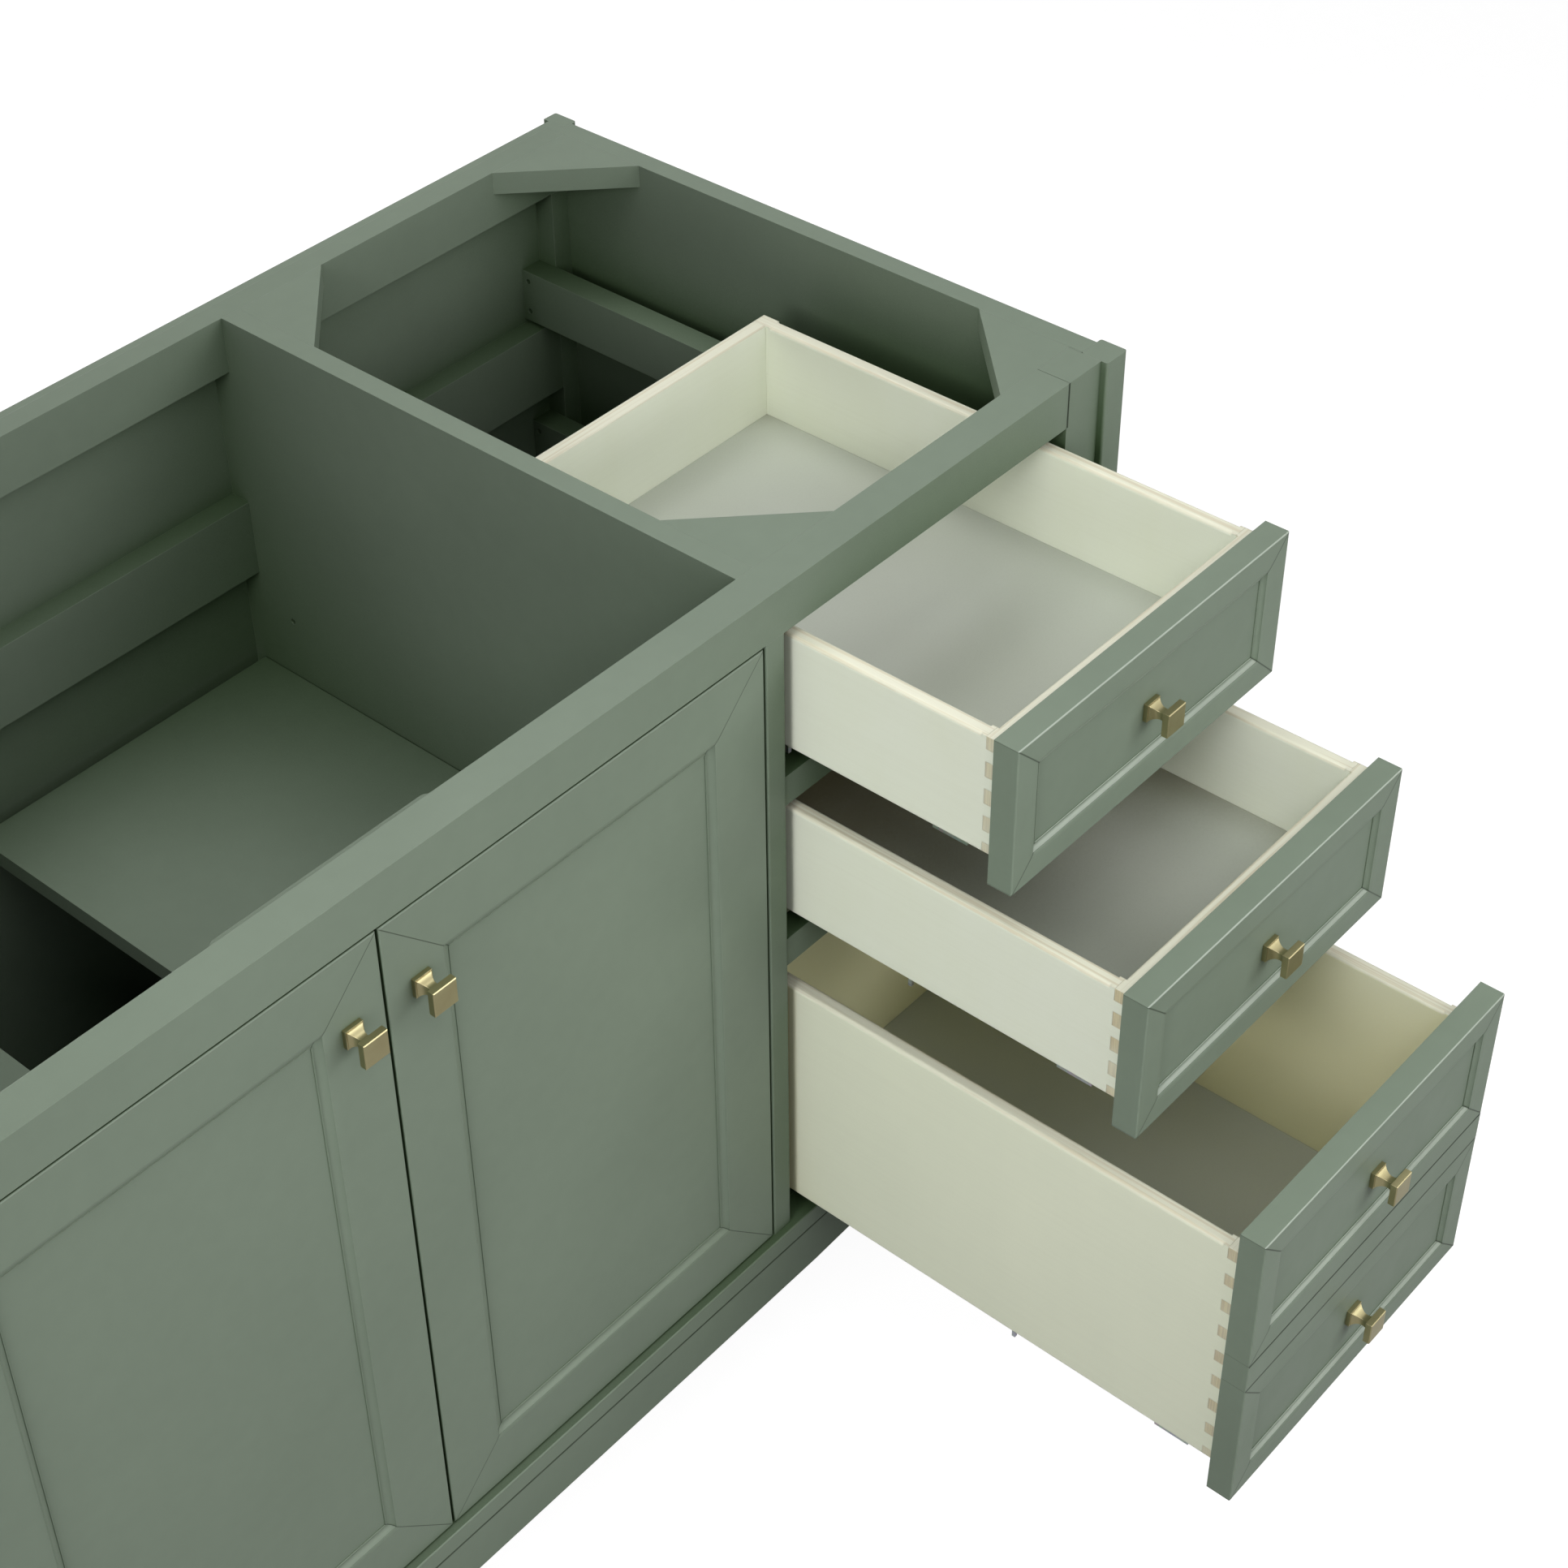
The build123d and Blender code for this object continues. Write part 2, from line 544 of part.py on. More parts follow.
def finger_slices(number, low, high, at_front):
    """Slices of a corner joint that belong to the end board, from the top down."""
    pins = []
    under = high - FIRST_PINS[number]
    while under + PIN_HEIGHTS[number] > low + LEAST_PIN:
        pins.append((max(under, low), min(under + PIN_HEIGHTS[number], high)))
        under -= PIN_PITCHES[number]
    if at_front:
        return pins
    gaps = [(lower[1], upper[0]) for upper, lower in zip(pins, pins[1:])]
    if pins[-1][0] > low:
        gaps.append((low, pins[-1][0]))
    return gaps


def box_side(x0, x1, y0, y1, low, high):
    """Side board with a rounded top edge that stops square before its ends."""
    board = block(x0, x1, y0 + BOX_SQUARE_END, y1 - BOX_SQUARE_END, low, high)
    top_edges = board.edges().filter_by(Axis.Y).group_by(Axis.Z)[-1]
    board = fillet(top_edges, BOX_EDGE_R)
    board += block(x0, x1, y0, y0 + BOX_SQUARE_END, low, high)
    board += block(x0, x1, y1 - BOX_SQUARE_END, y1, low, high)
    return board


def drawer_box(number, out):
    """Sides, ends and floor of a drawer box, finger-jointed at its corners."""
    low = box_bottom(number)
    high = FRONT_TOPS[number] - BOX_TOPS_DOWN[number]
    front = DRAWER_FRONT_T - out
    back = BOX_BACK - out
    ends = [block(BOX_INNER_LEFT, BOX_INNER_RIGHT, front, front + BOX_END_T, low, high),
            block(BOX_INNER_LEFT, BOX_INNER_RIGHT, back - BOX_END_T, back, low, high)]
    inner_top = ends[0].edges().filter_by(Axis.X).group_by(Axis.Z)[-1].sort_by(Axis.Y)[-1]
    ends[0] = fillet(inner_top, BOX_EDGE_R)
    spans = [(front, front + BOX_END_T, True), (back - BOX_END_T, back, False)]
    sides = []
    for x0, x1 in ((BOX_LEFT, BOX_INNER_LEFT), (BOX_INNER_RIGHT, BOX_RIGHT)):
        side = box_side(x0, x1, front, back, low, high)
        for index, (y0, y1, at_front) in enumerate(spans):
            for z0, z1 in finger_slices(number, low, high, at_front):
                pin = block(x0, x1, y0, y1, z0, z1)
                ends[index] += pin
                side -= pin
        sides.append(side)
    floor = block(BOX_INNER_LEFT - FLOOR_TONGUE, BOX_INNER_RIGHT + FLOOR_TONGUE,
                  front + BOX_END_T - FLOOR_TONGUE, back - BOX_END_T + FLOOR_TONGUE,
                  low + FLOOR_UNDER, low + FLOOR_UP)
    notch = RUNNER_SIDE_CLEAR + RUNNER_W + RUNNER_SIDE_CLEAR
    for x0, x1 in ((BOX_INNER_LEFT, BOX_INNER_LEFT + notch),
                   (BOX_INNER_RIGHT - notch, BOX_INNER_RIGHT)):
        ends[1] -= block(x0, x1, back - BOX_END_T, back, low, low + FLOOR_UNDER)
    name = "drawer_" + str(number + 1)
    write(name + "_sides", *[side - floor for side in sides])
    write(name + "_ends", *[end - floor for end in ends])
    write(name + "_floor", floor)


def hat(inset, drop, number, y0, y1):
    """One hat-shaped runner member on the left, nested by its inset below the drawer floor."""
    low = box_bottom(number)
    left = BOX_INNER_LEFT + RUNNER_SIDE_CLEAR + inset
    right = BOX_INNER_LEFT + RUNNER_SIDE_CLEAR + RUNNER_W - inset
    top = low + FLOOR_UNDER - inset
    bottom = low - drop
    member = block(left, right, y0, y1, top - SHEET_T, top)
    member += block(left, left + SHEET_T, y0, y1, bottom, top)
    member += block(right - SHEET_T, right, y0, y1, bottom, top)
    return member


def pair_in_bay(shape):
    """A left-hand runner member and its twin on the bay's other side."""
    return shape, mirror(shape, Plane.YZ.offset(BAY_MIDDLE))


def drawer_slides(number, out):
    """Drawer members below the floor, with a clip and a peg that reach under the side."""
    low = box_bottom(number)
    front = RUN_FRONT - out
    member = hat(0, SLIDE_DROP, number, front, RUN_BACK - out)
    left = BOX_INNER_LEFT + RUNNER_SIDE_CLEAR
    clip_front = front + CLIP_BACK
    peg_front = front + PEG_BACK
    member += block(left - CLIP_REACH, left, clip_front, clip_front + CLIP_L,
                    low - SLIDE_DROP, low - SLIDE_DROP + CLIP_T)
    member += block(left - CLIP_REACH, left, peg_front, peg_front + PEG_L,
                    low - SLIDE_DROP, low - SLIDE_DROP + CLIP_T)
    member += block(left - CLIP_REACH, left - CLIP_REACH + PEG_L, peg_front, peg_front + PEG_L,
                    low - PEG_DROP, low - SLIDE_DROP + CLIP_T)
    write("drawer_" + str(number + 1) + "_slides", *pair_in_bay(member))


def middle_slides(number, out):
    """Members between channel and drawer, half as far out as the drawer."""
    inset = SHEET_T + RUN_CLEAR
    half = out / 2
    front = RUN_FRONT - half
    member = hat(inset, MIDDLE_DROP, number, front, front + MIDDLE_L)
    write("drawer_" + str(number + 1) + "_middle_slides", *pair_in_bay(member))


def runner_channels():
    """Fixed members, screwed to the divider and to the spacers."""
    inset = 2 * (SHEET_T + RUN_CLEAR)
    back = RUN_FRONT + CHANNEL_L
    channels = []
    for number in range(3):
        low = box_bottom(number)
        under = low - CHANNEL_DROP
        channel = hat(inset, CHANNEL_DROP, number, RUN_FRONT, back)
        left = BOX_INNER_LEFT + RUNNER_SIDE_CLEAR + inset
        channel += block(DIVIDER_RIGHT, left, RUN_FRONT, back, under, under + SHEET_T)
        channel += block(DIVIDER_RIGHT, DIVIDER_RIGHT + SHEET_T, RUN_FRONT, back,
                         under, low + CHANNEL_FLANGE_UP)
        channels.extend(pair_in_bay(channel))
    write("runner_channels", *channels)


def drawer_front(number, out):
    """Framed front; the tall one has two frames with a plain strip between them."""
    top = FRONT_TOPS[number]
    bottom = top - FRONT_HEIGHTS[number]
    frames = [(top - FRONT_H, top)]
    members = []
    if FRONT_HEIGHTS[number] > FRONT_H:
        frames.append((bottom, bottom + FRONT_H))
        strip = block(FRONT_LEFT, FRONT_RIGHT, -out, DRAWER_FRONT_T - out,
                      bottom + FRONT_H, top - FRONT_H)
        members.append(fillet(front_edges(strip, Axis.X) + front_edges(strip, Axis.Z), GROOVE))
    fields = []
    knobs = []
    for low, high in frames:
        ring, field = framed_panel(FRONT_LEFT, FRONT_RIGHT, -out, low, high, DRAWER_FRAME_W,
                                   DRAWER_MOULD_W, DRAWER_MOULD_D, DRAWER_FRONT_T)
        members.extend(ring)
        fields.append(field)
        knobs.append(knob(FRONT_MIDDLE, DRAWER_FIELD_Y - out, (low + high) / 2))
    name = "drawer_" + str(number + 1)
    write(name + "_front_frame", *members)
    write(name + "_front_panel", *fields)
    write(name + "_knob", *knobs)


def drawers():
    """Three drawers on concealed runners."""
    for number, out in enumerate(DRAWERS_OUT):
        drawer_front(number, out)
        drawer_box(number, out)
        drawer_slides(number, out)
        middle_slides(number, out)


def hinge_cup(x, z):
    """Cup sunk in a door's back, with its flange on the surface."""
    cup = drill(x, DOOR_T, z, CUP_R, CUP_DEEP, (0, -1, 0))
    flange = block(x - CUP_IN + CUP_FLANGE_IN, x + CUP_R, DOOR_T, DOOR_T + CUP_FLANGE_T,
                   z - CUP_FLANGE_H / 2, z + CUP_FLANGE_H / 2)
    return cup + flange


def door(name, x0, hinge_on_left):
    """Framed door with its knob and hinge cups."""
    members, field = framed_panel(x0, x0 + DOOR_W, 0, DOOR_BOTTOM, DOOR_TOP, DOOR_FRAME_W,
                                  DOOR_MOULD_W, DOOR_MOULD_D, DOOR_T)
    cups = [hinge_cup(x0 + CUP_IN, z) for z in HINGE_HEIGHTS]
    if not hinge_on_left:
        middle = Plane.YZ.offset(x0 + DOOR_W / 2)
        cups = [mirror(cup, middle) for cup in cups]
    for cup in cups:
        members = [member - cup for member in members]
    away = -1 if hinge_on_left else 1
    write(name + "_frame", *members)
    write(name + "_panel", field)
    write(name + "_knob", knob(MEETING_X + away * DOOR_KNOB_IN, 0, DOOR_TOP - DOOR_KNOB_DOWN))
    write(name + "_hinge_cups", *cups)


def hinge_mounts():
    """Hinge plates and arms on the cabinet, and the blocks that carry the left ones."""
    plates = []
    arm_front = DOOR_T + CUP_FLANGE_T + HINGE_ARM_CLEAR
    left_edge = LEFT_DOOR_X
    right_edge = RIGHT_DOOR_X + DOOR_W
    for z in HINGE_HEIGHTS:
        for wall, edge, inward in ((-STILE_IN, left_edge, 1), (DIVIDER_LEFT, right_edge, -1)):
            plate_in = wall + inward * HINGE_PLATE_T
            arm_end = edge + inward * CUP_IN
            plate_front = TOP_RAIL_D + HINGE_ARM_T
            plate = block(min(wall, plate_in), max(wall, plate_in), plate_front,
                          plate_front + HINGE_PLATE_L - HINGE_ARM_T,
                          z - HINGE_PLATE_H / 2, z + HINGE_PLATE_H / 2)
            stem_in = plate_in + inward * HINGE_ARM_T
            stem = block(min(plate_in, stem_in), max(plate_in, stem_in), arm_front,
                         TOP_RAIL_D + HINGE_PLATE_L, z - HINGE_ARM_W / 2, z + HINGE_ARM_W / 2)
            reach = block(min(stem_in, arm_end), max(stem_in, arm_end), arm_front,
                          arm_front + HINGE_ARM_T, z - HINGE_ARM_W / 2, z + HINGE_ARM_W / 2)
            plates.append(plate + stem + reach)
    write("hinge_plates", *plates)
    blocks = [block(-SIDE_IN, -STILE_IN, TOP_RAIL_D, TOP_RAIL_D + HINGE_BLOCK_D,
                    z - HINGE_BLOCK_H / 2, z + HINGE_BLOCK_H / 2) for z in HINGE_HEIGHTS]
    write("hinge_blocks", *blocks)


def build():
    """Make every node."""
    os.makedirs("parts", exist_ok=True)
    side_panels()
    divider_panel()
    bottom_panel()
    back_panel()
    rails()
    posts()
    stiles()
    drawer_rails()
    base()
    corner_plates()
    corner_blocks()
    runner_spacers()
    runner_channels()
    shelf()
    door_stop()
    drawers()
    door("door_left", LEFT_DOOR_X, True)
    door("door_right", RIGHT_DOOR_X, False)
    hinge_mounts()


build()
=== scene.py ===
import bmesh
import bpy
import json
import math
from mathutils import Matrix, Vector


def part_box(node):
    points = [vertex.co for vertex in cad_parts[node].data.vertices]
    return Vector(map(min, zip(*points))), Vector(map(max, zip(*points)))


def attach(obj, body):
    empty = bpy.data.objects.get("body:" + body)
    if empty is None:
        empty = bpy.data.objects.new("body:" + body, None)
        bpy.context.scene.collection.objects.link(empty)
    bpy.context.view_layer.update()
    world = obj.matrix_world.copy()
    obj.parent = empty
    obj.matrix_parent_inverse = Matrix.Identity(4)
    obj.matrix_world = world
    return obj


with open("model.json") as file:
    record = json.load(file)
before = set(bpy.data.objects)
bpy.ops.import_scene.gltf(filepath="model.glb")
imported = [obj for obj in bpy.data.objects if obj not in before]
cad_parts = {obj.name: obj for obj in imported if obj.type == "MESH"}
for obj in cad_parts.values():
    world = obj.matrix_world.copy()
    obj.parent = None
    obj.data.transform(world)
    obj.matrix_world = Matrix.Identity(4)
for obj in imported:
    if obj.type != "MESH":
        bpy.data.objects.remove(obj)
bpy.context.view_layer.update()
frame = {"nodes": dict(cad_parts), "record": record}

# Camera, fitted to the photograph
CAMERA_PLACE = (-0.9890, -1.1101, 2.0213)
CAMERA_TURN = (51.005, 1.100, -48.772)
CAMERA_LENS = 67.24
CAMERA_SENSOR = 36.0
CAMERA_SHIFT = (0.0320, -0.0525)

# Colours, linear
PAINT = (0.189, 0.235, 0.180)
PAINT_WORN_AND_HIGHLIGHT = (0.340, 0.385, 0.320)       # worn arrises, paler also as a painted highlight
PAINT_SHADE = (0.048, 0.082, 0.036)       # painted shade in hollows and narrow gaps
PAINT_SEAM = (0.018, 0.026, 0.016)       # joints between pieces
PAINT_GLINT = (0.560, 0.610, 0.540)      # painted highlight on the slopes of the mouldings
BOX_WASH = (0.810, 0.840, 0.715)
BOX_CLOUD = (0.770, 0.800, 0.640)
BOX_GRAIN = (0.640, 0.640, 0.500)
BOX_EDGE = (0.760, 0.755, 0.610)         # bare top edges
BOX_STREAK = (0.610, 0.545, 0.380)       # streaks along the top edges
BOX_TAN = (0.640, 0.560, 0.350)          # end grain of the joints' pins
BOX_TAN_LINE = (0.480, 0.400, 0.260)
LOW_BOX_WASH = (0.825, 0.850, 0.675)     # box of the tall drawer
LOW_BOX_SHADE = (0.800, 0.765, 0.465)     # painted shade, warm and darker, inside it
BOARD = (0.452, 0.484, 0.424)
BOARD_CLOUD = (0.430, 0.445, 0.362)
BOARD_SPECK = (0.340, 0.345, 0.280)
BOARD_SHADE = (0.152, 0.130, 0.062)       # painted shade under the drawer above
ZINC = (0.560, 0.570, 0.580)
ZINC_ROLLED = (0.420, 0.430, 0.440)
BRASS = (0.440, 0.398, 0.222)
BRASS_CLOUD = (0.365, 0.315, 0.168)
BRASS_WORN = (0.760, 0.680, 0.440)
WHITE = (1.0, 1.0, 1.0, 1.0)

# Ranges that values are brought from and to
FULL = (0.0, 1.0)
FALLING = (1.0, 0.0)
NOISE_CORE = (0.3, 0.7)                  # where most values of a noise lie
NOISE_WIDE = (0.2, 0.8)
EDGE_TURN = (0.02, 0.25)                 # turn of a rounded normal, from an arris's rim to its middle
PAINT_MOTTLE = (0.96, 1.04)
PAINT_SPECK = (0.985, 1.015)             # fine specks, and the tone from piece to piece
PAINT_SHADE_OPEN = (0.2, 0.9)                  # openness from the painted shade to the plain paint
PAINT_ROUGH = (0.34, 0.44)
# Openness from the painted shade to the plain wash, inside the tall drawer's box
BOX_SHADE_OPEN = (0.15, 0.50)
BOX_ROUGH = (0.42, 0.55)
# Openness from the painted shade to the plain board
BOARD_SHADE_OPEN = (0.10, 0.32)
BOARD_ROUGH = (0.28, 0.33)
ZINC_ROUGH = (0.28, 0.42)
BRASS_ROUGH = (0.28, 0.36)
FLOOR_DUST = (0.19, 0.21)

# Joints and arrises that show in the paint
FRAME_EDGE = 0.0003                      # softened arrises of frames and their mouldings
CARCASS_EDGE = 0.0005                    # softened arrises of the fixed cabinet
BOX_ARRIS = 0.0014                       # softened arrises of the drawer boxes
ZINC_EDGE = 0.0004
BRASS_EDGE = 0.0003
STRIP_H = 0.027                          # strip between the two frames of the tall front
SEAM_W = 0.0008                          # half the width of a mitre's line on a door
FRONT_SEAM_W = 0.0012                    # the same on a drawer's front
GAP_W = 0.0015                           # half the width of a square joint's line
GAP_CORE = 0.3                           # share of that width that is fully dark
SEAM_INSET = 0.0004                      # joints start this far inside a frame's outline
SEAM_DEPTH = 0.8                         # how far a joint's line goes to the seam's colour
TALL_SEAM_DEPTH = 0.9                    # the same on the tall front
DOOR_GLINT = 0.1                         # strength of the painted highlight on the mouldings' slopes of a door
FRONT_GLINT = 0.45                       # the same on a drawer's front
PAINT_GLOSS = 0.10                       # specular level of the paint

# Surfaces this near darken the colour as painted shade
HOLLOW_SHADE_REACH = 0.25                      # for the fixed cabinet and the drawers' floors
CREVICE_SHADE_REACH = 0.012                    # for narrow gaps and corners of doors and fronts
BOX_SHADE_REACH = 0.35                         # for the painted shade inside the tall drawer's box

# Samples of the nodes that look at nearby surfaces
EDGE_SAMPLES = 6
PAINT_SAMPLES = 6
BOX_SAMPLES = 16
BOARD_SAMPLES = 32

# Fastenings: heads as radius and height
CUP_SCREW = (0.0036, 0.0016)
PLATE_SCREW = (0.0040, 0.0018)
KNOB_SCREW = (0.0045, 0.0022)
NAIL = (0.0022, 0.0005)
HEAD_RIM = 0.55                          # height of a head's rim, as a share of the head's
CROSS_HALF = 0.15                        # half the width of a cross recess, as a share of the radius
CROSS_REACH = 0.55                       # its arms' length, as a share of the radius
CROSS_DEPTH = 0.55                       # its depth, as a share of the head's height
SCREW_GRID = 21                          # points across a screw's head
NAIL_GRID = 9
CUP_CENTRE = 0.0195                      # from a cup's outer flange edge to its centre line
CUP_FLANGE_HALF = 0.025
CUP_SCREW_AT = 0.0205                    # screws above and below a cup's centre
FLANGE_T = 0.001
PLATE_HALF = 0.024
PLATE_T = 0.003
PLATE_SCREW_AT = 0.016                   # screws above and below a plate's centre
PLATE_SCREW_BACK = 0.037                 # and behind its front end
BOARD_T = 0.012                          # front board of a drawer box
NAIL_IN = 0.008                          # nails from the back panel's edge
NAILS_ACROSS = 9
NAILS_UP = 5
FILLER_EASE = 0.0002                     # eased top arrises of the filler strips
FILLER_CUTS = 2

# Light
SKY_LEVEL = 0.01
FLOOR_GLOW = 0.93                        # floor as the camera sees it
FLOOR_SHEEN = 0.35                       # floor as gloss mirrors it
FLOOR_HALF = 12.0
FLOOR_CELLS = 8
WIDE = 180.0
LAMP_AIM = (0.1, -0.1, 0.5)
DRAWER_AIM = (0.38, -0.25, 0.62)
LAMPS = (
    # name, place, aim, size, beam angle, power
    ("front", (0.3, -3.2, 1.2), LAMP_AIM, 1.5, WIDE, 35.6),
    ("left_low", (-3.0, -0.9, 0.7), LAMP_AIM, 1.2, WIDE, 18.5),
    ("left_high", (-2.6, -0.6, 2.3), LAMP_AIM, 1.0, WIDE, 26.9),
    ("front_right", (1.25, -2.1, 1.5), LAMP_AIM, 0.6, WIDE, 8.5),
    ("overhead", (0.0, 0.0, 4.5), LAMP_AIM, 3.0, WIDE, 62.0),
    ("above_back", (0.75, 0.65, 2.1), (-0.1, -0.3, 0.8), 0.6, WIDE, 5.5),
    ("above_right", (0.75, -1.2, 1.7), (0.1, -0.3, 0.5), 0.7, WIDE, 4.5),
    ("above_left", (-0.5, -0.9, 1.8), (0.0, -0.2, 0.5), 0.7, WIDE, 4.9),
    ("drawers", (-2.2, -0.9, 1.7), DRAWER_AIM, 0.8, 25.0, 0.38),
    ("behind", (0.5, 3.4, 0.7), LAMP_AIM, 1.5, WIDE, 60.0),
)


# ---- Nodes ----

def add(tree, kind, settings=None, **inputs):
    """A node with its settings, and with values or links on its inputs."""
    made = tree.nodes.new(kind)
    for name, value in (settings or {}).items():
        setattr(made, name, value)
    for name, value in inputs.items():
        put(tree, made.inputs[name.replace("_", " ")], value)
    return made


def put(tree, socket, value):
    """Link a socket to an output, or set it to a value."""
    if isinstance(value, bpy.types.NodeSocket):
        tree.links.new(value, socket)
    else:
        socket.default_value = value


def calc(tree, operation, *values):
    """The output of a Math node."""
    made = tree.nodes.new("ShaderNodeMath")
    made.operation = operation
    for socket, value in zip(made.inputs, values):
        put(tree, socket, value)
    return made.outputs[0]


def noise(tree, place, scale, detail=2.0, rough=0.5):
    """The value of a Noise node, 0 to 1."""
    made = add(tree, "ShaderNodeTexNoise", Vector=place, Scale=scale, Detail=detail, Roughness=rough)
    return made.outputs["Fac"]


def spread(tree, value, target, source=NOISE_CORE):
    """A value brought from a source range to a target range."""
    made = add(tree, "ShaderNodeMapRange", Value=value,
               From_Min=source[0], From_Max=source[1], To_Min=target[0], To_Max=target[1])
    return made.outputs[0]


def mix(tree, factor, first, second, blend="MIX"):
    """The colour of a mix of two colours."""
    made = add(tree, "ShaderNodeMixRGB", {"blend_type": blend}, Fac=factor)
    for name, value in (("Color1", first), ("Color2", second)):
        put(tree, made.inputs[name], (*value, 1.0) if isinstance(value, tuple) else value)
    return made.outputs[0]


def grey(tree, level):
    """A grey of a given level."""
    return add(tree, "ShaderNodeCombineColor", Red=level, Green=level, Blue=level).outputs[0]


def stretched(tree, place, scale):
    """Coordinates stretched by a scale along each axis."""
    return add(tree, "ShaderNodeMapping", Vector=place, Scale=scale).outputs[0]


def bump(tree, height, strength, distance, normal=None, inward=False):
    """A normal with the relief of a height, standing out or sunk in."""
    made = add(tree, "ShaderNodeBump", {"invert": inward},
               Strength=strength, Distance=distance, Height=height)
    if normal is not None:
        tree.links.new(normal, made.inputs["Normal"])
    return made.outputs[0]


def material(name):
    """An empty node material: its tree, its surface shader and its object coordinates."""
    made = bpy.data.materials.new(name)
    made.use_nodes = True
    tree = made.node_tree
    surface = tree.nodes["Principled BSDF"]
    place = tree.nodes.new("ShaderNodeTexCoord").outputs["Object"]
    return made, tree, surface, place


def set_surface(tree, surface, colour, rough, normal, metallic=0.0):
    """Join colour, roughness and normal to the surface shader."""
    tree.links.new(colour, surface.inputs["Base Color"])
    tree.links.new(rough, surface.inputs["Roughness"])
    tree.links.new(normal, surface.inputs["Normal"])
    surface.inputs["Metallic"].default_value = metallic


# ---- Masks ----

def facet_normal(tree):
    """The direction a facet faces."""
    return tree.nodes.new("ShaderNodeNewGeometry").outputs["True Normal"]


def facing(tree):
    """The direction a facet faces, as separate numbers."""
    return add(tree, "ShaderNodeSeparateXYZ", Vector=facet_normal(tree)).outputs


def soft_normal(tree, radius):
    """A normal rounded at the edges."""
    return add(tree, "ShaderNodeBevel", {"samples": EDGE_SAMPLES}, Radius=radius).outputs[0]


def edge_mask(tree, normal):
    """1 where a rounded normal has turned away from the facet's own, along the edges."""
    dot = add(tree, "ShaderNodeVectorMath", {"operation": "DOT_PRODUCT"})
    tree.links.new(normal, dot.inputs[0])
    tree.links.new(facet_normal(tree), dot.inputs[1])
    return spread(tree, calc(tree, "SUBTRACT", 1.0, dot.outputs["Value"]), FULL, EDGE_TURN)


def shade_openness(tree, reach, limits, samples=PAINT_SAMPLES):
    """1 in the open, less where other surfaces within reach close in; the colour takes painted shade by it.
    """
    made = add(tree, "ShaderNodeAmbientOcclusion", {"samples": samples}, Distance=reach)
    return spread(tree, made.outputs["AO"], FULL, limits)


def highlight_slope_mask(tree):
    """1 on the mouldings' slopes that face up and forward, which take a painted highlight."""
    faces = facing(tree)
    rising = spread(tree, faces["Z"], FULL, (0.15, 0.60))
    slope = calc(tree, "MULTIPLY", rising, calc(tree, "LESS_THAN", faces["Z"], 0.97))
    return calc(tree, "MULTIPLY", slope, calc(tree, "LESS_THAN", faces["Y"], -0.1))


def line_at(tree, value, level, core, reach):
    """1 where a value is within a core distance of a level, falling to 0 at its reach."""
    away = calc(tree, "ABSOLUTE", calc(tree, "SUBTRACT", value, level))
    return spread(tree, away, FALLING, (core, reach))


def gap_at(tree, value, level):
    """1 along the line of a square joint."""
    return line_at(tree, value, level, GAP_CORE * GAP_W, GAP_W)


def inside(tree, value, low, high):
    """How far a value lies inside two limits."""
    away = calc(tree, "ABSOLUTE", calc(tree, "SUBTRACT", value, (low + high) / 2))
    return calc(tree, "SUBTRACT", (high - low) / 2, away)


def on_front(tree, mask):
    """A mask kept on front faces only."""
    return calc(tree, "MULTIPLY", mask, calc(tree, "LESS_THAN", facing(tree)["Y"], -0.3))


def frame_seams(tree, place, outlines, cuts, width):
    """1 along the mitres of rectangular frames and along level joints, away from their outlines."""
    parts = add(tree, "ShaderNodeSeparateXYZ", Vector=place).outputs
    mask = 0.0
    for low, high in outlines:
        across = inside(tree, parts["X"], low.x, high.x)
        upward = inside(tree, parts["Z"], low.z, high.z)
        mitre = line_at(tree, across, upward, 0.0, width)
        mitre = calc(tree, "MULTIPLY", mitre, calc(tree, "GREATER_THAN", upward, SEAM_INSET))
        mask = calc(tree, "MAXIMUM", mask, mitre)
        for level in cuts:
            cut = gap_at(tree, parts["Z"], level)
            cut = calc(tree, "MULTIPLY", cut, calc(tree, "GREATER_THAN", across, SEAM_INSET))
            mask = calc(tree, "MAXIMUM", mask, cut)
    return mask


def rail_seams(tree, place, offset, low):
    """1 along the upright joints at both ends of the top rail, on front faces."""
    parts = add(tree, "ShaderNodeSeparateXYZ", Vector=place).outputs
    line = gap_at(tree, calc(tree, "ABSOLUTE", parts["X"]), offset)
    line = calc(tree, "MULTIPLY", line, calc(tree, "GREATER_THAN", parts["Z"], low))
    return on_front(tree, line)


def base_seam(tree, place, level):
    """1 along the level joint of base rail and apron, on front faces."""
    parts = add(tree, "ShaderNodeSeparateXYZ", Vector=place).outputs
    return on_front(tree, gap_at(tree, parts["Z"], level))


# ---- Materials ----

